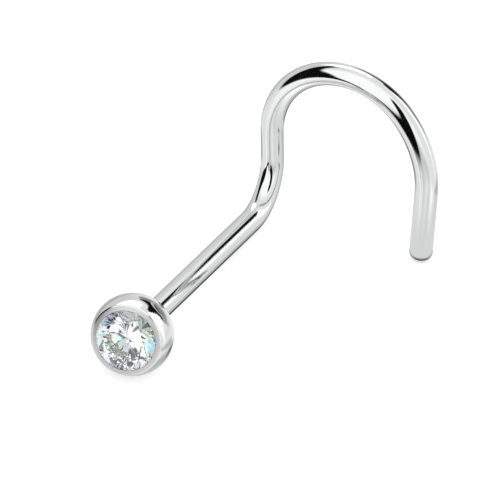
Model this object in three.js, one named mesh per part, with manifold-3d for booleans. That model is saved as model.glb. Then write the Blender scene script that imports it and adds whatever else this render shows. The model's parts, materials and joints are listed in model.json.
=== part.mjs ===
// Nose screw: a stud of bent wire with a ball head, and a round brilliant stone pressed into the ball.
// Millimetres, +Z up. The stud lies as it comes to rest by itself, on its ball, the bend of its wire and
// the wire's free end, with the post running towards +Y. The origin is the middle of its box, at the base.
import * as THREE from 'three';
import { mergeVertices } from 'three/addons/utils/BufferGeometryUtils.js';
import { ConvexGeometry } from 'three/addons/geometries/ConvexGeometry.js';
import { ConvexHull } from 'three/addons/math/ConvexHull.js';
import Module from 'manifold-3d';

const wasm = await Module();
wasm.setup();

// Driving dimensions
const wireDiameter = 0.8;
const ballDiameter = 2.75;
const postLength = 9.8; // ball centre to the corner where the post and the hook would meet
const bendRadius = 1.7; // centreline radius between post and hook
const hookLead = 2.7; // the same corner to the start of the hook's first arc
const hookRadius = 2.8; // first arc of the hook
const hookAngle = 140;
const openingRadius = 3.75; // wider second arc of the hook
const openingAngle = 45;
const tailLength = 2.3; // straight stretch before the rounded end
const tipLength = 0.3; // the free end's rounding, a little flatter than a half ball

const stoneDiameter = 2.14;
const tableDiameter = 1.4;
const stoneTop = 0.99; // table above the ball's centre
const girdleTop = 0.67;
const girdleHeight = 0.03;
const pavilionAngle = 40.8;
const starReach = 0.5; // how far the star facets reach from table to girdle
const lowerReach = 0.24; // how close to the culet the lower girdle facets reach, of the radius
const facetCount = 8;

const rimPolar = 61.5; // where the bezel ring starts on the ball, from the stone's axis
const mouthRadius = 1.02; // clear opening of the bezel ring
const mouthHeight = 0.765;
const lipThickness = 0.03;
const fitGap = 0.02; // stone to seat, all round
const seatTilt = 18.5; // the stone's axis leans this far off the post's line
const seatHeading = 38; // direction of that lean, from the hook's first run towards its turning side

const wireSides = 24;
const ballSides = 48;
const arcStep = 7.5; // degrees of turn between two rings of the wire or the ball

const degree = Math.PI / 180;
const forward = new THREE.Vector3(0, 1, 0);
const bendSide = new THREE.Vector3(1, 0, 0); // the post turns to this side of the wire's own frame
const hookSide = new THREE.Vector3(0, 0, -1); // and the hook to this one
const wireRadius = wireDiameter / 2;
const ballRadius = ballDiameter / 2;

// The wire's runs in order, from the ball's centre to its free end
const runs = [
  { name: 'post', length: postLength - bendRadius },
  { name: 'bend', radius: bendRadius, angle: 90, side: bendSide },
  { name: 'lead', length: hookLead - bendRadius },
  { name: 'hook', radius: hookRadius, angle: hookAngle, side: hookSide },
  { name: 'opening', radius: openingRadius, angle: openingAngle, side: hookSide },
  { name: 'tail', length: tailLength },
].map((run) => ({ ...run, length: run.length ?? run.radius * run.angle * degree }));

// How the wire's frame moves along one run
function advance(run, distance) {
  if (!run.side) return new THREE.Matrix4().makeTranslation(0, distance, 0);
  const centre = run.side.clone().multiplyScalar(run.radius);
  const axis = forward.clone().cross(run.side);
  return new THREE.Matrix4()
    .makeTranslation(centre)
    .multiply(new THREE.Matrix4().makeRotationAxis(axis, distance / run.radius))
    .multiply(new THREE.Matrix4().makeTranslation(centre.negate()));
}

// The wire's frame at a distance along its centreline; past the last run it goes straight on
function frameAt(distance) {
  const frame = new THREE.Matrix4();
  let left = distance;
  for (const run of runs) {
    const travelled = Math.min(left, run.length);
    frame.multiply(advance(run, travelled));
    left -= travelled;
  }
  return frame.multiply(new THREE.Matrix4().makeTranslation(0, left, 0));
}

// Distances of the wire's rings: the ends of every run, and even steps round each turn
function ringDistances(start) {
  const rings = [start];
  let end = 0;
  for (const run of runs) {
    const steps = run.side ? Math.round(run.angle / arcStep) : 1;
    for (let i = 1; i <= steps; i += 1) rings.push(end + (run.length * i) / steps);
    end += run.length;
  }
  return rings;
}

// A straight rod turned with its rounded end, then bent along the runs
function bentWire() {
  const start = ballRadius * 0.6; // inside the ball, behind the seat
  const rings = ringDistances(start);
  const end = rings.at(-1);
  const tipSteps = 6;
  const profile = [new THREE.Vector2(0, start)];
  for (const distance of rings) profile.push(new THREE.Vector2(wireRadius, distance));
  for (let i = 1; i < tipSteps; i += 1) {
    const angle = (i / tipSteps) * 90 * degree;
    profile.push(new THREE.Vector2(wireRadius * Math.cos(angle), end + tipLength * Math.sin(angle)));
  }
  profile.push(new THREE.Vector2(0, end + tipLength));
  const rod = new THREE.LatheGeometry(profile, wireSides);
  const place = rod.attributes.position;
  const point = new THREE.Vector3();
  for (let i = 0; i < place.count; i += 1) {
    point.fromBufferAttribute(place, i);
    const frame = frameAt(point.y);
    point.setY(0).applyMatrix4(frame);
    place.setXYZ(i, point.x, point.y, point.z);
  }
  return rod;
}

const pavilionSlope = Math.tan(pavilionAngle * degree);
const stoneRadius = stoneDiameter / 2;
const girdleBottom = girdleTop - girdleHeight;
const culet = girdleBottom - stoneRadius * pavilionSlope;

// Ball cut back to a bezel ring, with the stone's seat sunk in it and a lip over the girdle
function ballWithSeat() {
  const profile = [];
  for (let polar = 180; polar > rimPolar; polar -= arcStep) {
    const angle = polar * degree;
    profile.push(new THREE.Vector2(ballRadius * Math.sin(angle), ballRadius * Math.cos(angle)));
  }
  profile[0].x = 0;
  const rim = rimPolar * degree;
  const seatRadius = stoneRadius + fitGap;
  profile.push(
    new THREE.Vector2(ballRadius * Math.sin(rim), ballRadius * Math.cos(rim)),
    new THREE.Vector2(mouthRadius, mouthHeight),
    new THREE.Vector2(mouthRadius, mouthHeight - lipThickness),
    new THREE.Vector2(seatRadius, girdleTop + fitGap),
    new THREE.Vector2(seatRadius, girdleBottom - fitGap / 2),
    new THREE.Vector2(0, culet - 2 * fitGap),
  );
  return new THREE.LatheGeometry(profile, ballSides);
}

// Round brilliant: table, stars, kites and upper girdle facets, then the pavilion's own three rows
function brilliant() {
  const at = (radius, step, height) => {
    const angle = (step / (2 * facetCount)) * 2 * Math.PI;
    return new THREE.Vector3(radius * Math.cos(angle), height, radius * Math.sin(angle));
  };
  const tableRadius = tableDiameter / 2;
  const crownSlope = (stoneTop - girdleTop) / (stoneRadius - tableRadius);
  const halfStep = Math.cos(Math.PI / facetCount);
  const starRadius = tableRadius + (stoneRadius - tableRadius) * starReach;
  const starHeight = stoneTop - (starRadius * halfStep - tableRadius) * crownSlope;
  const lowerRadius = stoneRadius * lowerReach;
  const lowerHeight = culet + lowerRadius * halfStep * pavilionSlope;
  const points = [new THREE.Vector3(0, culet, 0)];
  for (let step = 0; step < 2 * facetCount; step += 1) {
    const onMain = step % 2 === 0;
    points.push(at(stoneRadius, step, girdleTop), at(stoneRadius, step, girdleBottom));
    points.push(onMain ? at(tableRadius, step, stoneTop) : at(starRadius, step, starHeight));
    if (!onMain) points.push(at(lowerRadius, step, lowerHeight));
  }
  return new ConvexGeometry(points);
}

function bare(geometry) {
  const shape = geometry.index ? geometry.clone() : geometry;
  for (const name of Object.keys(shape.attributes)) {
    if (name !== 'position') shape.deleteAttribute(name);
  }
  return mergeVertices(shape, 1e-5);
}

// Closed solid of a geometry whose shared vertices are merged
function solid(geometry) {
  const shape = bare(geometry);
  const triangles = [];
  const index = shape.index.array;
  for (let i = 0; i < index.length; i += 3) {
    const [a, b, c] = [index[i], index[i + 1], index[i + 2]];
    if (a !== b && b !== c && c !== a) triangles.push(a, b, c);
  }
  return new wasm.Manifold(
    new wasm.Mesh({
      numProp: 3,
      vertProperties: new Float32Array(shape.attributes.position.array),
      triVerts: new Uint32Array(triangles),
    }),
  );
}

function geometryOf(manifold) {
  const mesh = manifold.getMesh();
  const geometry = new THREE.BufferGeometry();
  geometry.setAttribute('position', new THREE.BufferAttribute(mesh.vertProperties, 3));
  geometry.setIndex(new THREE.BufferAttribute(mesh.triVerts, 1));
  return geometry;
}

// Volume-weighted middle of a closed mesh
function centreOfMass(geometry) {
  const place = geometry.attributes.position;
  const index = geometry.index.array;
  const corners = [new THREE.Vector3(), new THREE.Vector3(), new THREE.Vector3()];
  const sum = new THREE.Vector3();
  let volume = 0;
  for (let i = 0; i < index.length; i += 3) {
    corners.forEach((corner, k) => corner.fromBufferAttribute(place, index[i + k]));
    const [a, b, c] = corners;
    const part = a.dot(b.clone().cross(c)) / 6;
    volume += part;
    sum.addScaledVector(a.clone().add(b).add(c), part / 4);
  }
  return sum.divideScalar(volume);
}

// Outward normal of the hull face that the stud lies on: the widest one that its weight stands over
function restingNormal(geometry) {
  const place = geometry.attributes.position;
  const points = [];
  for (let i = 0; i < place.count; i += 1) points.push(new THREE.Vector3().fromBufferAttribute(place, i));
  const weight = centreOfMass(geometry);
  const standsOver = (face) => {
    const corners = [0, 1, 2].map((k) => face.getEdge(k).head().point);
    return corners.every((corner, k) => {
      const side = corners[(k + 1) % 3].clone().sub(corner);
      return side.cross(weight.clone().sub(corner)).dot(face.normal) > 0;
    });
  };
  const hull = new ConvexHull().setFromPoints(points);
  const faces = hull.faces.filter(standsOver).sort((a, b) => b.area - a.area);
  return faces[0].normal.clone();
}

// Direction the stone faces: away from the post, leaning off its line
function stoneAxis() {
  const lean = bendSide
    .clone()
    .multiplyScalar(Math.cos(seatHeading * degree))
    .addScaledVector(hookSide, Math.sin(seatHeading * degree));
  return forward
    .clone()
    .multiplyScalar(-Math.cos(seatTilt * degree))
    .addScaledVector(lean, Math.sin(seatTilt * degree));
}

const seatTurn = new THREE.Matrix4().makeRotationFromQuaternion(
  new THREE.Quaternion().setFromUnitVectors(forward, stoneAxis()),
);

const steel = new THREE.MeshStandardMaterial({ color: 0xe2e3e5, roughness: 0.08, metalness: 1 });
const crystal = new THREE.MeshStandardMaterial({ color: 0xf4f8fb, roughness: 0.02, metalness: 0 });

const head = solid(ballWithSeat().applyMatrix4(seatTurn));
const screw = new THREE.Mesh(geometryOf(head.add(solid(bentWire()))), steel);
screw.name = 'nose_screw';

const stone = new THREE.Mesh(bare(brilliant()), crystal);
stone.name = 'stone';
stone.applyMatrix4(seatTurn);

const noseStud = new THREE.Group();
noseStud.name = 'nose_stud';
noseStud.add(screw, stone);

// Lay it down, then swing it so that the post runs towards +Y
const down = new THREE.Vector3(0, 0, -1);
const lay = new THREE.Quaternion().setFromUnitVectors(restingNormal(screw.geometry), down);
const post = forward.clone().applyQuaternion(lay);
const swing = new THREE.Quaternion().setFromAxisAngle(
  new THREE.Vector3(0, 0, 1),
  Math.PI / 2 - Math.atan2(post.y, post.x),
);
noseStud.quaternion.copy(swing.multiply(lay));
noseStud.updateMatrixWorld(true);
const box = new THREE.Box3().setFromObject(noseStud, true);
const middle = box.getCenter(new THREE.Vector3());
noseStud.position.set(-middle.x, -middle.y, -box.min.z);

export default noseStud;
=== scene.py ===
# Looks of the nose screw: polished steel wire and ball, and a clear round brilliant stone in its bezel.
import json
import math

import bmesh
import bpy
from mathutils import Matrix, Quaternion, Vector


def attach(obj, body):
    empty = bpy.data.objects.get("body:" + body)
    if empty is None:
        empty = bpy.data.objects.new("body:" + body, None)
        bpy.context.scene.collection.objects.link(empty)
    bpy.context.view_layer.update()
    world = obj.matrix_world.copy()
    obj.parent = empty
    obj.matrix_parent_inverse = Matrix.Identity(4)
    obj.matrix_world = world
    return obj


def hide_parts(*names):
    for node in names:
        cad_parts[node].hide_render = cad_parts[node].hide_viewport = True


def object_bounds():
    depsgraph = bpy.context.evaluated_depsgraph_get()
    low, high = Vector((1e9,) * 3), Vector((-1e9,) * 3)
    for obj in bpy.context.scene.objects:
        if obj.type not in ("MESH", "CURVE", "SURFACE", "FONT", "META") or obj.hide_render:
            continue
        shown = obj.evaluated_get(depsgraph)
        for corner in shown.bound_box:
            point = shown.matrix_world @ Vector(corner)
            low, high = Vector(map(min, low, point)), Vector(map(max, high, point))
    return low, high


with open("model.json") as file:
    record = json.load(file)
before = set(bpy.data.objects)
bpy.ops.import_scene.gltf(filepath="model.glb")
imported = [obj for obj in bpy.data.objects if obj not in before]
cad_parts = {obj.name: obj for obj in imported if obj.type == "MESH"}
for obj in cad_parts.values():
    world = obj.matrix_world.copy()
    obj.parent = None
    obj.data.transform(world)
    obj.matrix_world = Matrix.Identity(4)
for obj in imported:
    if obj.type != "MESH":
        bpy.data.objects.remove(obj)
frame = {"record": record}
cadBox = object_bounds()
print("frame loaded")

mm = 0.001
degree = math.radians(1)

# ---------------------------------------------------------------- head: ball, bezel and seat
head = {
    "ballRadius": 1.375 * mm,
    "rimPolar": 61.5,  # bezel ring starts on the ball here, from the stone's axis
    "mouthRadius": 1.02 * mm,
    "mouthHeight": 0.765 * mm,
    "lip": 0.03 * mm,
    "rimEdge": 0.035 * mm,  # rounding between ball and bezel ring
    "lipEdge": 0.013 * mm,
    "ringCrown": 0.008 * mm,  # how far the bezel ring bulges
    "weldFillet": 0.04 * mm,
    "fitGap": 0.02 * mm,
    "seatTilt": 18.5,  # stone's axis off the post's line
    "seatHeading": 38,  # which way it leans, from the hook's first run towards its turning side
    "belowRim": 0.06,  # turn in radians from the rim to the first ring on the ball
    "ballRings": 70,
}

wire = {
    "radius": 0.4 * mm,
    "postLength": 9.8 * mm,  # ball centre to the corner
    "bendRadius": 1.7 * mm,
    "hookLead": 2.7 * mm,
    "hookRadius": 2.8 * mm,
    "hookAngle": 140,
    "openingRadius": 3.75 * mm,
    "openingAngle": 45,
    "tailLength": 2.3 * mm,
    "tipLength": 0.3 * mm,
    "tipRings": 14,
    "sides": 96,
    "turnStep": 2.5,  # degrees between two rings of a turn
    "straightStep": 0.4 * mm,
}

gem = {
    "radius": 1.07 * mm,
    "tableRadius": 0.70 * mm,
    "top": 0.99 * mm,  # table above the ball's centre
    "girdleTop": 0.67 * mm,
    "girdleHeight": 0.03 * mm,
    "pavilionAngle": 40.8,
    "starReach": 0.5,
    "lowerReach": 0.24,
    "mains": 8,
    "girdleSteps": 4,  # girdle points on each half facet
    # painted reflections and fire on the crown's facets, dark tints standing in for dark reflections and
    # coloured ones for the stone's fire: one for each kite and star, and two for the halves between two kites
    "kitePaintedReflections": (
        (0.56, 0.61, 0.65), (0.66, 0.7, 0.95), (0.8, 0.78, 0.86), (0.4, 0.82, 0.95),
        (0.26, 0.3, 0.25), (0.2, 0.23, 0.22), (0.3, 0.36, 0.46), (0.5, 0.54, 0.57),
    ),
    "starPaintedReflections": (
        (0.86, 0.94, 0.94), (0.82, 0.85, 1.0), (0.95, 0.93, 1.0), (0.9, 0.96, 0.86),
        (0.72, 0.76, 0.74), (0.75, 0.8, 0.88), (0.82, 0.92, 0.95), (0.84, 0.95, 0.93),
    ),
    "rimPaintedReflections": (
        (0.6, 0.62, 0.64), (0.66, 0.68, 0.7), (0.55, 0.58, 0.62), (0.7, 0.72, 0.85),
        (0.8, 0.74, 0.62), (0.95, 0.72, 0.38), (0.45, 0.72, 0.9), (0.62, 0.8, 0.4),
        (0.24, 0.27, 0.24), (0.3, 0.32, 0.3), (0.34, 0.36, 0.37), (0.42, 0.44, 0.46),
        (0.44, 0.46, 0.5), (0.5, 0.52, 0.54), (0.46, 0.48, 0.5), (0.55, 0.57, 0.58),
    ),
}


def studFrame():
    # The stone's table gives its axis, and the post has no sideways part, so the two fix how the stud lies.
    mount = frame["record"]["mounts"][0]
    axis = Vector(mount["axis"]).normalized()
    centre = Vector(mount["pos_m"]) - axis * gem["top"]
    tilt = head["seatTilt"] * degree
    slope = math.atan2(axis.z, -axis.y) - math.acos(math.cos(tilt) / math.hypot(axis.y, axis.z))
    along = Vector((0, math.cos(slope), -math.sin(slope)))
    lean = (axis + along * math.cos(tilt)) / math.sin(tilt)
    firstRun = Quaternion(along, -head["seatHeading"] * degree) @ lean
    turnSide = along.cross(firstRun)
    return centre, axis, along, firstRun, turnSide


ballCentre, stoneAxis, postAxis, hookRun, turnSide = studFrame()
print("stud frame found")


# ---------------------------------------------------------------- node helpers
def link(tree, source, target):
    tree.links.new(source, target)


def addNode(tree, kind, **settings):
    node = tree.nodes.new(kind)
    for name, value in settings.items():
        setattr(node, name, value)
    return node


def mathNode(tree, operation, a, b=None):
    node = addNode(tree, "ShaderNodeMath", operation=operation)
    for slot, value in enumerate((a, b)):
        if value is None:
            continue
        if isinstance(value, (int, float)):
            node.inputs[slot].default_value = value
        else:
            link(tree, value, node.inputs[slot])
    return node.outputs[0]


# ---------------------------------------------------------------- finishes
def finePolishGroup():
    tree = bpy.data.node_groups.new("finePolish", "ShaderNodeTree")
    face = tree.interface
    face.new_socket("Vector", in_out="INPUT", socket_type="NodeSocketVector")
    defaults = (("Grain Size", 60.0), ("Stretch", 12.0), ("Low Roughness", 0.02), ("High Roughness", 0.08))
    for name, value in defaults:
        socket = face.new_socket(name, in_out="INPUT", socket_type="NodeSocketFloat")
        socket.default_value = value
    for name in ("Roughness", "Height", "Haze"):
        face.new_socket(name, in_out="OUTPUT", socket_type="NodeSocketFloat")
    inside = addNode(tree, "NodeGroupInput")
    outside = addNode(tree, "NodeGroupOutput")
    # polishing lines run round the rod: the pattern is squeezed along it
    squeeze = addNode(tree, "ShaderNodeCombineXYZ")
    for slot in (0, 1):
        squeeze.inputs[slot].default_value = 1.0
    link(tree, inside.outputs["Stretch"], squeeze.inputs[2])
    stretched = addNode(tree, "ShaderNodeVectorMath", operation="MULTIPLY")
    link(tree, inside.outputs["Vector"], stretched.inputs[0])
    link(tree, squeeze.outputs[0], stretched.inputs[1])
    lines = addNode(tree, "ShaderNodeTexNoise")
    lines.inputs["Detail"].default_value = 3
    link(tree, stretched.outputs[0], lines.inputs["Vector"])
    link(tree, inside.outputs["Grain Size"], lines.inputs["Scale"])
    haze = addNode(tree, "ShaderNodeTexNoise")
    haze.inputs["Detail"].default_value = 2
    link(tree, inside.outputs["Vector"], haze.inputs["Vector"])
    link(tree, mathNode(tree, "MULTIPLY", inside.outputs["Grain Size"], 0.12), haze.inputs["Scale"])
    span = mathNode(tree, "SUBTRACT", inside.outputs["High Roughness"], inside.outputs["Low Roughness"])
    mixed = mathNode(tree, "MULTIPLY", lines.outputs["Fac"], haze.outputs["Fac"])
    doubled = mathNode(tree, "MULTIPLY", mixed, 2.0)
    rough = mathNode(tree, "ADD", mathNode(tree, "MULTIPLY", doubled, span), inside.outputs["Low Roughness"])
    link(tree, rough, outside.inputs["Roughness"])
    link(tree, lines.outputs["Fac"], outside.inputs["Height"])
    link(tree, haze.outputs["Fac"], outside.inputs["Haze"])
    return tree


finePolish = finePolishGroup()


def polishedSteel():
    finish = {
        "bright": (0.75, 0.752, 0.755, 1),
        "dull": (0.68, 0.684, 0.69, 1),
        "ring": (0.66, 0.662, 0.665, 1),
        "ringRoughness": 0.5,
        "relief": 0.02,
    }
    material = bpy.data.materials.new("polishedSteel")
    material.use_nodes = True
    tree = material.node_tree
    shader = tree.nodes["Principled BSDF"]
    shader.inputs["Metallic"].default_value = 1
    rod = addNode(tree, "ShaderNodeAttribute", attribute_name="straightRod")
    polish = addNode(tree, "ShaderNodeGroup", node_tree=finePolish)
    polish.inputs["Grain Size"].default_value = 9000
    polish.inputs["Stretch"].default_value = 5
    polish.inputs["Low Roughness"].default_value = 0.03
    polish.inputs["High Roughness"].default_value = 0.09
    link(tree, rod.outputs["Vector"], polish.inputs["Vector"])
    tone = addNode(tree, "ShaderNodeMix", data_type="RGBA")
    tone.inputs["A"].default_value = finish["dull"]
    tone.inputs["B"].default_value = finish["bright"]
    link(tree, polish.outputs["Haze"], tone.inputs["Factor"])
    ring = addNode(tree, "ShaderNodeAttribute", attribute_name="burnished")
    toned = addNode(tree, "ShaderNodeMix", data_type="RGBA")
    link(tree, ring.outputs["Fac"], toned.inputs["Factor"])
    link(tree, tone.outputs["Result"], toned.inputs["A"])
    toned.inputs["B"].default_value = finish["ring"]
    link(tree, toned.outputs["Result"], shader.inputs["Base Color"])
    rougher = addNode(tree, "ShaderNodeMix", data_type="FLOAT")
    link(tree, ring.outputs["Fac"], rougher.inputs["Factor"])
    link(tree, polish.outputs["Roughness"], rougher.inputs["A"])
    rougher.inputs["B"].default_value = finish["ringRoughness"]
    link(tree, rougher.outputs["Result"], shader.inputs["Roughness"])
    bump = addNode(tree, "ShaderNodeBump")
    bump.inputs["Strength"].default_value = finish["relief"]
    bump.inputs["Distance"].default_value = 0.002 * mm
    link(tree, polish.outputs["Height"], bump.inputs["Height"])
    link(tree, bump.outputs["Normal"], shader.inputs["Normal"])
    return material


def clearStone():
    finish = {
        "ior": 2.15,
        "gloss": 0.1,
        "driftScale": 1100,
        # painted fire: faint colours that drift through the stone, standing in for the colours its facets
        # split the light into
        "paintedFire": (
            (0.36, (0.87, 1.0, 0.95)), (0.44, (0.94, 0.96, 1.0)), (0.5, (1.0, 0.93, 0.95)),
            (0.56, (0.98, 1.0, 0.95)), (0.64, (0.9, 0.92, 1.0)),
        ),
    }
    material = bpy.data.materials.new("clearStone")
    material.use_nodes = True
    tree = material.node_tree
    shader = tree.nodes["Principled BSDF"]
    shader.inputs["Transmission Weight"].default_value = 1
    shader.inputs["IOR"].default_value = finish["ior"]
    shader.inputs["Roughness"].default_value = 0
    shader.inputs["Specular IOR Level"].default_value = finish["gloss"]
    # the crown's painted reflections and fire, multiplied by the painted fire that drifts through the stone,
    # make the base colour
    paintedReflection = addNode(tree, "ShaderNodeAttribute", attribute_name="facetPaintedReflection")
    place = addNode(tree, "ShaderNodeTexCoord")
    drift = addNode(tree, "ShaderNodeTexNoise")
    drift.inputs["Scale"].default_value = finish["driftScale"]
    drift.inputs["Detail"].default_value = 1
    link(tree, place.outputs["Object"], drift.inputs["Vector"])
    paintedFireRamp = addNode(tree, "ShaderNodeValToRGB")
    paintedFireRamp.color_ramp.elements.remove(paintedFireRamp.color_ramp.elements[1])
    for position, colour in finish["paintedFire"]:
        stop = paintedFireRamp.color_ramp.elements.new(position)
        stop.color = (*colour, 1)
    paintedFireRamp.color_ramp.elements.remove(paintedFireRamp.color_ramp.elements[0])
    link(tree, drift.outputs["Fac"], paintedFireRamp.inputs["Fac"])
    both = addNode(tree, "ShaderNodeMix", data_type="RGBA", blend_type="MULTIPLY")
    both.inputs["Factor"].default_value = 1
    link(tree, paintedReflection.outputs["Color"], both.inputs["A"])
    link(tree, paintedFireRamp.outputs["Color"], both.inputs["B"])
    link(tree, both.outputs["Result"], shader.inputs["Base Color"])
    return material


steelFinish = polishedSteel()
stoneFinish = clearStone()
print("finishes made")


# ---------------------------------------------------------------- wire
def advance(run, distance):
    if run["side"] is None:
        return Matrix.Translation((0, distance, 0))
    centre = run["side"] * run["radius"]
    axis = Vector((0, 1, 0)).cross(run["side"])
    turn = Matrix.Rotation(distance / run["radius"], 4, axis)
    return Matrix.Translation(centre) @ turn @ Matrix.Translation(-centre)


def wireRuns():
    bendSide = Vector((1, 0, 0))
    hookSide = Vector((0, 0, -1))
    rows = (
        (wire["postLength"] - wire["bendRadius"], None, None),
        (wire["bendRadius"], 90, bendSide),
        (wire["hookLead"] - wire["bendRadius"], None, None),
        (wire["hookRadius"], wire["hookAngle"], hookSide),
        (wire["openingRadius"], wire["openingAngle"], hookSide),
        (wire["tailLength"], None, None),
    )
    runs = []
    for size, angle, side in rows:
        length = size if side is None else size * angle * degree
        runs.append({"length": length, "radius": size, "angle": angle, "side": side})
    return runs


def routeFrame(runs, distance):
    place = Matrix((hookRun, postAxis, -turnSide)).transposed().to_4x4()
    place.translation = ballCentre
    for run in runs:
        travelled = min(distance, run["length"])
        place = place @ advance(run, travelled)
        distance -= travelled
    return place @ Matrix.Translation((0, distance, 0))


def routeDistances(runs, start):
    distances = [start]
    end = 0
    for run in runs:
        steps = run["angle"] / wire["turnStep"] if run["side"] else run["length"] / wire["straightStep"]
        steps = math.ceil(steps)
        distances += [end + run["length"] * i / steps for i in range(1, steps + 1)]
        end += run["length"]
    distances = [d for d in distances if d >= start]
    for i in range(1, wire["tipRings"] + 1):
        distances.append(end + wire["tipLength"] * math.sin(90 * degree * i / wire["tipRings"]))
    return distances


def bentWireTree():
    tree = bpy.data.node_groups.new("bentWire", "GeometryNodeTree")
    face = tree.interface
    face.new_socket("Geometry", in_out="INPUT", socket_type="NodeSocketGeometry")
    for name in ("Wire Radius", "Tip Length", "Start"):
        face.new_socket(name, in_out="INPUT", socket_type="NodeSocketFloat")
    face.new_socket("Sides", in_out="INPUT", socket_type="NodeSocketInt")
    face.new_socket("Finish", in_out="INPUT", socket_type="NodeSocketMaterial")
    face.new_socket("Geometry", in_out="OUTPUT", socket_type="NodeSocketGeometry")
    inside = addNode(tree, "NodeGroupInput")
    outside = addNode(tree, "NodeGroupOutput")
    path = addNode(tree, "GeometryNodeMeshToCurve")
    link(tree, inside.outputs["Geometry"], path.inputs["Mesh"])
    # the rod's radius, drawn in over the tip as a flattened half ball
    parameter = addNode(tree, "GeometryNodeSplineParameter")
    whole = addNode(tree, "GeometryNodeSplineLength")
    left = mathNode(tree, "SUBTRACT", whole.outputs["Length"], parameter.outputs["Length"])
    share = mathNode(tree, "DIVIDE", left, inside.outputs["Tip Length"])
    toTip = addNode(tree, "ShaderNodeMath", operation="SUBTRACT", use_clamp=True)
    toTip.inputs[0].default_value = 1
    link(tree, share, toTip.inputs[1])
    squared = mathNode(tree, "MULTIPLY", toTip.outputs[0], toTip.outputs[0])
    flat = mathNode(tree, "SQRT", mathNode(tree, "SUBTRACT", 1.0, squared))
    radius = mathNode(tree, "MULTIPLY", flat, inside.outputs["Wire Radius"])
    routeData = addNode(tree, "GeometryNodeCaptureAttribute", domain="POINT")
    routeData.capture_items.new("FLOAT", "Radius")
    routeData.capture_items.new("FLOAT", "Distance")
    link(tree, path.outputs["Curve"], routeData.inputs["Geometry"])
    link(tree, radius, routeData.inputs["Radius"])
    travelled = mathNode(tree, "ADD", parameter.outputs["Length"], inside.outputs["Start"])
    link(tree, travelled, routeData.inputs["Distance"])
    section = addNode(tree, "GeometryNodeCurvePrimitiveCircle", mode="RADIUS")
    section.inputs["Radius"].default_value = 1
    link(tree, inside.outputs["Sides"], section.inputs["Resolution"])
    sectionData = addNode(tree, "GeometryNodeCaptureAttribute", domain="POINT")
    sectionData.capture_items.new("VECTOR", "Round")
    link(tree, section.outputs["Curve"], sectionData.inputs["Geometry"])
    link(tree, addNode(tree, "GeometryNodeInputPosition").outputs[0], sectionData.inputs["Round"])
    sweep = addNode(tree, "GeometryNodeCurveToMesh")
    link(tree, routeData.outputs["Geometry"], sweep.inputs["Curve"])
    link(tree, sectionData.outputs["Geometry"], sweep.inputs["Profile Curve"])
    link(tree, routeData.outputs["Radius"], sweep.inputs["Scale"])
    # each point's place on the rod before it was bent
    split = addNode(tree, "ShaderNodeSeparateXYZ")
    link(tree, sectionData.outputs["Round"], split.inputs[0])
    straight = addNode(tree, "ShaderNodeCombineXYZ")
    link(tree, mathNode(tree, "MULTIPLY", split.outputs[0], routeData.outputs["Radius"]), straight.inputs[0])
    link(tree, mathNode(tree, "MULTIPLY", split.outputs[1], routeData.outputs["Radius"]), straight.inputs[1])
    link(tree, routeData.outputs["Distance"], straight.inputs[2])
    store = addNode(tree, "GeometryNodeStoreNamedAttribute", data_type="FLOAT_VECTOR", domain="POINT")
    store.inputs["Name"].default_value = "straightRod"
    link(tree, sweep.outputs["Mesh"], store.inputs["Geometry"])
    link(tree, straight.outputs[0], store.inputs["Value"])
    real = addNode(tree, "GeometryNodeRealizeInstances")
    link(tree, store.outputs["Geometry"], real.inputs["Geometry"])
    finish = addNode(tree, "GeometryNodeSetMaterial")
    link(tree, real.outputs["Geometry"], finish.inputs["Geometry"])
    link(tree, inside.outputs["Finish"], finish.inputs["Material"])
    link(tree, finish.outputs["Geometry"], outside.inputs["Geometry"])
    return tree


def setInput(modifier, name, value):
    for item in modifier.node_group.interface.items_tree:
        if item.item_type == "SOCKET" and item.in_out == "INPUT" and item.name == name:
            modifier[item.identifier] = value


def newObject(name, mesh):
    piece = bpy.data.objects.new(name, mesh)
    bpy.context.scene.collection.objects.link(piece)
    return piece


def sweptWire(start):
    runs = wireRuns()
    points = [routeFrame(runs, d).translation for d in routeDistances(runs, start)]
    route = bpy.data.meshes.new("wireRoute")
    route.from_pydata(points, [(i, i + 1) for i in range(len(points) - 1)], [])
    carrier = newObject("wireRoute", route)
    modifier = carrier.modifiers.new("bentWire", "NODES")
    modifier.node_group = bentWireTree()
    setInput(modifier, "Wire Radius", wire["radius"])
    setInput(modifier, "Tip Length", wire["tipLength"])
    setInput(modifier, "Start", start)
    setInput(modifier, "Sides", wire["sides"])
    setInput(modifier, "Finish", steelFinish)
    evaluated = carrier.evaluated_get(bpy.context.evaluated_depsgraph_get())
    mesh = bpy.data.meshes.new_from_object(evaluated)
    bpy.data.objects.remove(carrier)
    return mesh


# ---------------------------------------------------------------- head
def roundCorners(corners, steps=5):
    # corners are (radius, height, rounding); a rounded one becomes a short arc
    path = []
    for i, (x, y, rounding) in enumerate(corners):
        here = Vector((x, y))
        if rounding == 0 or i in (0, len(corners) - 1):
            path.append(here)
            continue
        before = (Vector(corners[i - 1][:2]) - here).normalized()
        after = (Vector(corners[i + 1][:2]) - here).normalized()
        half = before.angle(after) / 2
        reach = rounding / math.tan(half)
        centre = here + (before + after).normalized() * rounding / math.sin(half)
        first = (here + before * reach - centre).normalized()
        last = (here + after * reach - centre).normalized()
        for k in range(steps + 1):
            path.append(centre + first.slerp(last, k / steps) * rounding)
    return path


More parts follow.
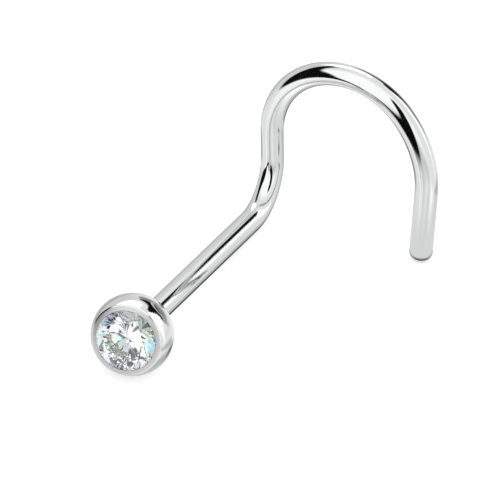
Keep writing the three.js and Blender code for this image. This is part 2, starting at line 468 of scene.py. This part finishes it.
def stonePart():
    # seat, lip and bezel ring, from the seat's bottom to the ball, as radius and height on the stone's axis
    rim = head["rimPolar"] * degree
    ball = head["ballRadius"]
    seat = gem["radius"] + head["fitGap"]
    girdleBottom = gem["girdleTop"] - gem["girdleHeight"]
    culet = girdleBottom - gem["radius"] * math.tan(gem["pavilionAngle"] * degree)
    mouth = Vector((head["mouthRadius"], head["mouthHeight"]))
    rimPoint = Vector((ball * math.sin(rim), ball * math.cos(rim)))
    across = rimPoint - mouth
    outward = Vector((-across.y, across.x)).normalized()
    if outward.y < 0:
        outward = -outward
    below = Vector((ball * math.sin(rim + head["belowRim"]), ball * math.cos(rim + head["belowRim"])))
    corners = [
        (0, culet - 2 * head["fitGap"], 0),
        (seat, girdleBottom - head["fitGap"] / 2, 0),
        (seat, gem["girdleTop"] + head["fitGap"], 0),
        (mouth.x, mouth.y - head["lip"], head["lipEdge"] / 2),
        (mouth.x, mouth.y, head["lipEdge"]),
    ]
    ringSteps = 6
    for k in range(1, ringSteps):
        share = k / ringSteps
        bulge = head["ringCrown"] * 4 * share * (1 - share)
        point = mouth + across * share + outward * bulge
        corners.append((point.x, point.y, 0))
    corners.append((rimPoint.x, rimPoint.y, head["rimEdge"]))
    corners.append((below.x, below.y, 0))
    return roundCorners(corners), rim + head["belowRim"]


def headRings():
    # every ring as centre, axis and radius, from the seat's bottom to the wire
    rings = []
    profile, rim = stonePart()
    seatSteps = 10
    bottom, edge = profile[0], profile[1]
    for k in range(1, seatSteps):
        profile.insert(k, bottom.lerp(edge, k / seatSteps))
    for point in profile:
        rings.append((ballCentre + stoneAxis * point.y, -stoneAxis, point.x))
    ball = head["ballRadius"]
    fillet = head["weldFillet"]
    neck = math.sqrt((ball + fillet) ** 2 - (wire["radius"] + fillet) ** 2)
    weld = math.atan2(wire["radius"] + fillet, neck)
    first = math.pi - rim
    steps = head["ballRings"]
    turn = (-stoneAxis).rotation_difference(postAxis)
    for k in range(1, steps + 1):
        share = k / steps
        axis = Quaternion().slerp(turn, share) @ -stoneAxis
        angle = first + (weld - first) * share
        rings.append((ballCentre + axis * ball * math.cos(angle), axis, ball * math.sin(angle)))
    filletSteps = 5
    fromBall = 1.5 * math.pi - weld
    for k in range(1, filletSteps):
        angle = fromBall + (math.pi - fromBall) * k / filletSteps
        out = wire["radius"] + fillet + fillet * math.cos(angle)
        rings.append((ballCentre + postAxis * (neck + fillet * math.sin(angle)), postAxis, out))
    return rings


def noseScrew():
    fillet = head["weldFillet"]
    start = math.sqrt((head["ballRadius"] + fillet) ** 2 - (wire["radius"] + fillet) ** 2)
    mesh = sweptWire(start)
    sides = wire["sides"]
    shape = bmesh.new()
    shape.from_mesh(mesh)
    shape.verts.ensure_lookup_table()
    straight = shape.verts.layers.float_vector["straightRod"]
    burnished = shape.verts.layers.float.new("burnished")
    joint = [shape.verts[i] for i in range(sides)]
    middle = sum((v.co for v in joint), Vector()) / sides
    across = (joint[0].co - middle).normalized()
    sense = 1 if across.cross(joint[1].co - middle).dot(postAxis) > 0 else -1
    upAcross = postAxis.cross(across) * sense
    local = Matrix((across, upAcross, postAxis))
    previous = None
    for centre, axis, radius in headRings():
        turn = postAxis.rotation_difference(axis)
        u, v = turn @ across, turn @ upAcross
        ring = []
        count = sides if radius > 1e-7 else 1
        for j in range(count):
            angle = 2 * math.pi * j / sides
            point = shape.verts.new(centre + (u * math.cos(angle) + v * math.sin(angle)) * radius)
            place = point.co - ballCentre
            point[straight] = local @ place
            aboveStone = place.dot(stoneAxis) > gem["girdleTop"] + head["fitGap"]
            insideBall = place.length < 0.999 * head["ballRadius"]
            point[burnished] = 1 if aboveStone and insideBall else 0
            ring.append(point)
        if previous is not None:
            stitch(shape, previous, ring)
        previous = ring
    stitch(shape, previous, joint)
    bmesh.ops.remove_doubles(shape, verts=shape.verts, dist=0.0002 * mm)
    bmesh.ops.recalc_face_normals(shape, faces=shape.faces)
    for face in shape.faces:
        face.smooth = True
        face.material_index = 0
    shape.to_mesh(mesh)
    shape.free()
    mesh.name = "noseScrew"
    piece = newObject("polishedScrew", mesh)
    return piece


def stitch(shape, lower, upper):
    count = max(len(lower), len(upper))
    for j in range(count):
        k = (j + 1) % count
        corners = [lower[j % len(lower)], lower[k % len(lower)], upper[k % len(upper)], upper[j % len(upper)]]
        unique = list(dict.fromkeys(corners))
        if len(unique) > 2:
            shape.faces.new(unique)


screw = noseScrew()
print("nose screw made", len(screw.data.polygons), "faces")


# ---------------------------------------------------------------- stone
def brilliantStone():
    mains = gem["mains"]
    step = math.pi / mains
    halfCos = math.cos(step)
    slope = math.tan(gem["pavilionAngle"] * degree)
    girdleBottom = gem["girdleTop"] - gem["girdleHeight"]
    culetHeight = girdleBottom - gem["radius"] * slope
    crownSlope = (gem["top"] - gem["girdleTop"]) / (gem["radius"] - gem["tableRadius"])
    starRadius = gem["tableRadius"] + (gem["radius"] - gem["tableRadius"]) * gem["starReach"]
    starHeight = gem["top"] - (starRadius * halfCos - gem["tableRadius"]) * crownSlope
    lowerRadius = gem["radius"] * gem["lowerReach"]
    lowerHeight = culetHeight + lowerRadius * halfCos * slope
    side = stoneAxis.orthogonal().normalized()
    other = stoneAxis.cross(side)
    shape = bmesh.new()
    # each crown facet's colour carries its painted reflection or painted fire; the table, girdle and pavilion
    # stay clear
    paintedReflection = shape.faces.layers.float_color.new("facetPaintedReflection")

    def at(radius, halfSteps, height):
        angle = halfSteps * step
        place = ballCentre + stoneAxis * height
        return shape.verts.new(place + (side * math.cos(angle) + other * math.sin(angle)) * radius)

    def facet(corners, colour):
        face = shape.faces.new(corners)
        face[paintedReflection] = (*colour, 1)
        return face

    clear = (1.0, 1.0, 1.0)
    table = [at(gem["tableRadius"], 2 * i, gem["top"]) for i in range(mains)]
    stars = [at(starRadius, 2 * i + 1, starHeight) for i in range(mains)]
    lower = [at(lowerRadius, 2 * i + 1, lowerHeight) for i in range(mains)]
    fine = gem["girdleSteps"]
    points = 2 * mains * fine
    top = [at(gem["radius"], k / fine, gem["girdleTop"]) for k in range(points)]
    under = [at(gem["radius"], k / fine, girdleBottom) for k in range(points)]
    culet = shape.verts.new(ballCentre + stoneAxis * culetHeight)
    facet(table, clear)
    for i in range(mains):
        nextMain = (i + 1) % mains
        facet([table[i], stars[i], table[nextMain]], gem["starPaintedReflections"][i])
        base = 2 * i * fine
        facet([table[i], stars[i - 1], top[base], stars[i]], gem["kitePaintedReflections"][i])
        facet([culet, lower[i], under[base], lower[i - 1]], clear)
        for half in range(2):
            first = base + half * fine
            rim = [top[(first + k) % points] for k in range(fine + 1)]
            facet([*rim, stars[i]], gem["rimPaintedReflections"][2 * i + half])
            rim = [under[(first + k) % points] for k in range(fine + 1)]
            facet([*rim, lower[i]], clear)
    for k in range(points):
        j = (k + 1) % points
        facet([top[k], top[j], under[j], under[k]], clear)
    bmesh.ops.recalc_face_normals(shape, faces=shape.faces)
    mesh = bpy.data.meshes.new("brilliantStone")
    shape.to_mesh(mesh)
    shape.free()
    mesh.materials.append(stoneFinish)
    return newObject("brilliantStone", mesh)


stone = brilliantStone()
print("stone made", len(stone.data.polygons), "facets")

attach(screw, "root")
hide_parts("nose_screw")
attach(stone, "root")
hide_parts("stone")


# ---------------------------------------------------------------- camera, floor and light
shot = {
    "lens": 500,
    "distance": 228.9 * mm,
    "azimuth": -27.5,  # the way it looks, from +Y towards +X
    "elevation": 39.95,
    "roll": 1.9,
    "aimOffset": Vector((-0.31, -0.55, -0.415)) * mm,  # from the middle of the stud's box
}


def placeCamera():
    lens = bpy.data.cameras.new("studioCamera")
    lens.lens = shot["lens"]
    lens.clip_start = 0.01
    lens.clip_end = 10
    camera = newObject("studioCamera", lens)
    azimuth, elevation = shot["azimuth"] * degree, shot["elevation"] * degree
    flat = math.cos(elevation)
    look = Vector((math.sin(azimuth) * flat, math.cos(azimuth) * flat, -math.sin(elevation)))
    aim = (cadBox[0] + cadBox[1]) / 2 + shot["aimOffset"]
    right = look.cross(Vector((0, 0, 1))).normalized()
    up = right.cross(look)
    tip = Quaternion(look, -shot["roll"] * degree)
    axes = Matrix((tip @ right, tip @ up, -look)).transposed()
    camera.matrix_world = Matrix.Translation(aim - look * shot["distance"]) @ axes.to_4x4()
    bpy.context.scene.camera = camera


def paleFloor():
    floor = {"size": 1.5, "colour": (0.8, 0.8, 0.805, 1), "lift": 0.4}
    mesh = bpy.data.meshes.new("paleFloor")
    reach = floor["size"] / 2
    corners = [(-reach, -reach, 0), (reach, -reach, 0), (reach, reach, 0), (-reach, reach, 0)]
    mesh.from_pydata(corners, [], [(0, 1, 2, 3)])
    material = bpy.data.materials.new("paleFloor")
    material.use_nodes = True
    shader = material.node_tree.nodes["Principled BSDF"]
    shader.inputs["Base Color"].default_value = floor["colour"]
    shader.inputs["Roughness"].default_value = 0.9
    shader.inputs["Specular IOR Level"].default_value = 0
    shader.inputs["Emission Color"].default_value = (1, 1, 1, 1)
    shader.inputs["Emission Strength"].default_value = floor["lift"]
    mesh.materials.append(material)
    piece = newObject("paleFloor", mesh)
    piece.visible_glossy = False
    piece.visible_transmission = False


def cardFinish(light):
    material = bpy.data.materials.new("studioCard")
    material.use_nodes = True
    tree = material.node_tree
    tree.nodes.clear()
    output = addNode(tree, "ShaderNodeOutputMaterial")
    mix = addNode(tree, "ShaderNodeMixShader")
    gap = addNode(tree, "ShaderNodeBsdfTransparent")
    glow = addNode(tree, "ShaderNodeEmission")
    glow.inputs["Color"].default_value = (*light, 1)
    soft = addNode(tree, "ShaderNodeAttribute", attribute_name="cover")
    link(tree, soft.outputs["Fac"], mix.inputs[0])
    link(tree, gap.outputs[0], mix.inputs[1])
    link(tree, glow.outputs[0], mix.inputs[2])
    link(tree, mix.outputs[0], output.inputs["Surface"])
    return material


# Neutral cards stand round the stud, and show as reflections in the steel and through the stone.
# Rows: azimuth from the camera's line of sight, turning right, then the card's lower and upper edge,
# in degrees above the floor.
black = (0.004, 0.004, 0.004)
cards = {
    "backRightFlag": {
        "light": black,
        "softness": 2.5,
        "rows": [
            (8, 18, 23), (18, 15, 27), (29, 13, 31), (36, 12, 38),
            (40, 12, 44), (52, 11, 45), (56, 9, 28), (61, 5, 14),
        ],
    },
    "backRightHaze": {
        "light": (0.32, 0.32, 0.32),
        "softness": 7,
        "distance": 0.55,
        "rows": [(4, 4, 16), (20, -4, 22), (40, -8, 22), (54, -7, 14), (62, -3, 6)],
    },
    "leftFlag": {
        "light": black,
        "softness": 2.5,
        "rows": [
            (-136, -25, -17), (-132, -21, -7), (-129, -18, -1), (-124, -13, 11),
            (-118, -10, 20), (-110, -9, 26), (-98, -9, 31), (-87, -7, 36),
            (-76, 2, 41), (-62, 22, 48), (-44, 38, 52), (-36, 42, 50),
        ],
    },
    "cameraFlag": {
        "light": black,
        "softness": 2.5,
        "rows": [
            (-133, -27, -16), (-138, -23, -9), (-147, -19, -3), (-159, -14, 7), (-170, -9, 17),
            (-178, -3, 30), (-187, 7, 47), (-192, 14, 54), (-203, 28, 56), (-214, 44, 60),
        ],
    },
    "sweepEdge": {
        "light": (0.07, 0.07, 0.07),
        "softness": 3.5,
        "rows": [
            (-74, -50, -38), (-50, -53, -37), (-20, -56, -41), (10, -56, -44),
            (35, -55, -41), (46, -52, -41), (55, -48, -42),
        ],
    },
    "lowSideHaze": {
        "light": (0.55, 0.55, 0.55),
        "softness": 4,
        "distance": 0.55,
        "rows": [(46, -38, -32), (58, -37, -28), (76, -35, -26), (92, -32, -26), (102, -30, -27)],
    },
    "topWindow": {
        "light": (1.7, 1.7, 1.7),
        "softness": 1.5,
        "rows": [(-34, 26, 48), (-26, 28, 54), (-8, 30, 58), (4, 32, 58), (14, 34, 58), (24, 42, 58)],
    },
    "rightWindow": {
        "light": (1.5, 1.5, 1.5),
        "softness": 1.5,
        "rows": [(50, 26, 48), (58, 16, 48), (70, 8, 44), (80, 2, 34), (90, -30, 12)],
    },
}


def studioCard(name, card):
    distance = card.get("distance", 0.5)
    fine = 6
    softness = card["softness"]
    rows = card["rows"]
    shape = bmesh.new()
    cover = shape.verts.layers.float.new("cover")
    columns = []
    for first, last in zip(rows, rows[1:]):
        for k in range(fine):
            columns.append([a + (b - a) * k / fine for a, b in zip(first, last)])
    columns.append(rows[-1])
    grid = []
    inner = 1 + round(max(high - low for azimuth, low, high in rows) / 12)
    for azimuth, low, high in columns:
        full = min(1, (high - low) / (2 * softness))
        column = []
        levels = [(low - softness, 0)]
        for k in range(inner + 1):
            levels.append((low + softness + (high - low - 2 * softness) * k / inner, full))
        levels.append((high + softness, 0))
        for height, opacity in levels:
            a = (shot["azimuth"] + azimuth) * degree
            e = height * degree
            out = Vector((math.sin(a) * math.cos(e), math.cos(a) * math.cos(e), math.sin(e)))
            point = shape.verts.new(out * distance)
            point[cover] = opacity
            column.append(point)
        grid.append(column)
    for point in grid[0] + grid[-1]:
        point[cover] = 0
    for left, right in zip(grid, grid[1:]):
        for k in range(inner + 2):
            shape.faces.new((left[k], right[k], right[k + 1], left[k + 1]))
    mesh = bpy.data.meshes.new(name)
    shape.to_mesh(mesh)
    shape.free()
    mesh.materials.append(cardFinish(card["light"]))
    piece = newObject(name, mesh)
    piece.visible_camera = False
    piece.visible_diffuse = False
    piece.visible_shadow = False


def floorShade(name, centre, reach, height, light):
    # a soft dark disc on the floor, which shows only in the steel's reflections
    azimuth = shot["azimuth"] * degree
    right = Vector((math.cos(azimuth), -math.sin(azimuth), 0))
    back = Vector((math.sin(azimuth), math.cos(azimuth), 0))
    middle = Vector((centre.x, centre.y, height * mm))
    shape = bmesh.new()
    cover = shape.verts.layers.float.new("cover")
    sides = 48
    previous = [shape.verts.new(middle)]
    previous[0][cover] = 1
    for share, strength in ((0.4, 0.9), (0.6, 0.55), (0.8, 0.18), (1, 0)):
        ring = []
        for k in range(sides):
            angle = 2 * math.pi * k / sides
            out = right * math.cos(angle) + back * math.sin(angle)
            point = shape.verts.new(middle + out * reach * share)
            point[cover] = strength
            ring.append(point)
        stitch(shape, previous, ring)
        previous = ring
    for face in shape.faces:
        face.normal_update()
        if face.normal.z < 0:
            face.normal_flip()
    mesh = bpy.data.meshes.new(name)
    shape.to_mesh(mesh)
    shape.free()
    mesh.materials.append(cardFinish(light))
    piece = newObject(name, mesh)
    piece.visible_camera = False
    piece.visible_diffuse = False
    piece.visible_shadow = False
    piece.visible_transmission = False


def aimedRamp(tree, direction, azimuth, elevation, start, end, strength):
    # a smooth glow round one direction; start and end are the cosines where it begins and is full
    azimuth = (shot["azimuth"] + azimuth) * degree
    elevation = elevation * degree
    facing = addNode(tree, "ShaderNodeVectorMath", operation="DOT_PRODUCT")
    link(tree, direction, facing.inputs[0])
    flat = math.cos(elevation)
    facing.inputs[1].default_value = (math.sin(azimuth) * flat, math.cos(azimuth) * flat, math.sin(elevation))
    ramp = addNode(tree, "ShaderNodeMapRange", interpolation_type="SMOOTHSTEP")
    ramp.inputs["From Min"].default_value = start
    ramp.inputs["From Max"].default_value = end
    ramp.inputs["To Min"].default_value = 0
    ramp.inputs["To Max"].default_value = strength
    link(tree, facing.outputs["Value"], ramp.inputs["Value"])
    return ramp.outputs["Result"]


def softWorld():
    base = 1.03
    glows = [
        (-155, 25, 0.3, 0.7, 0.3),  # large light beside the camera
        (180, -16, 0.72, 0.95, -0.55),
        (160, -48, 0.7, 0.9, 0.35),
        (-40, 15, 0.55, 0.9, -0.2),
        (-20, -25, 0.85, 0.97, -0.3),
        (45, -68, 0.8, 0.97, -0.55),
    ]
    world = bpy.data.worlds.new("softStudio")
    bpy.context.scene.world = world
    world.use_nodes = True
    tree = world.node_tree
    background = tree.nodes["Background"]
    background.inputs["Color"].default_value = (1, 1, 1, 1)
    place = addNode(tree, "ShaderNodeTexCoord")
    total = base
    for glow in glows:
        total = mathNode(tree, "ADD", aimedRamp(tree, place.outputs["Generated"], *glow), total)
    link(tree, total, background.inputs["Strength"])


placeCamera()
paleFloor()
for cardName, card in cards.items():
    studioCard(cardName, card)
runs = wireRuns()
tip = routeFrame(runs, sum(run["length"] for run in runs)).translation
floorShade("ballShade", ballCentre, 2.6 * mm, 0.001, (0.75, 0.75, 0.75))
floorShade("tailShade", tip, 6 * mm, 0.001, (0.9, 0.9, 0.9))
floorShade("tipShade", tip, 0.9 * mm, 0.003, black)
softWorld()
bpy.context.scene.view_settings.view_transform = "Standard"
# light bounces many times inside the cut stone
bpy.context.scene.cycles.max_bounces = 24
bpy.context.scene.cycles.glossy_bounces = 24
bpy.context.scene.cycles.transmission_bounces = 24
print("studio set")
